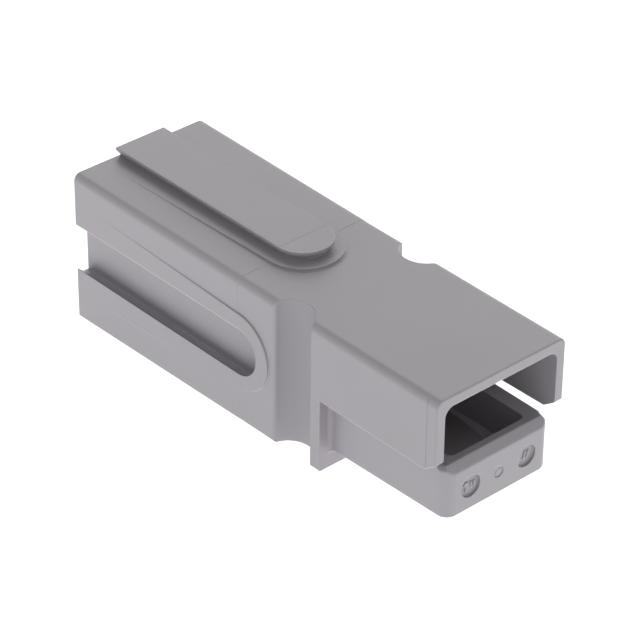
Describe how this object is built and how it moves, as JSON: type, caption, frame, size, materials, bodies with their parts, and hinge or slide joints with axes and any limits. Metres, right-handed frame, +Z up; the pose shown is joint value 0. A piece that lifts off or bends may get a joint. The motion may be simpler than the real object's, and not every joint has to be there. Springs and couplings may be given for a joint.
{
  "type": "genderless power connector housing",
  "caption": "Square plastic housing with a hooded mating mouth, dovetail tongues and grooves for stacking, and a steel leaf spring: half of a genderless single-pole power connector.",
  "frame": {"origin": "centre of the cable entry on the rear face", "axes": "+X from the rear face to the mating end; +Z up, to the top tongue and the hood's roof; +Y to the side with the second tongue"},
  "size_m": [0.049, 0.0169, 0.0169],
  "materials": {
    "housing": "satin grey moulded polycarbonate",
    "retention_spring": "bright rolled stainless strip"
  },
  "bodies": {
    "root": {"housing": "housing", "retention_spring": "retention_spring"}
  },
  "joints": []
}
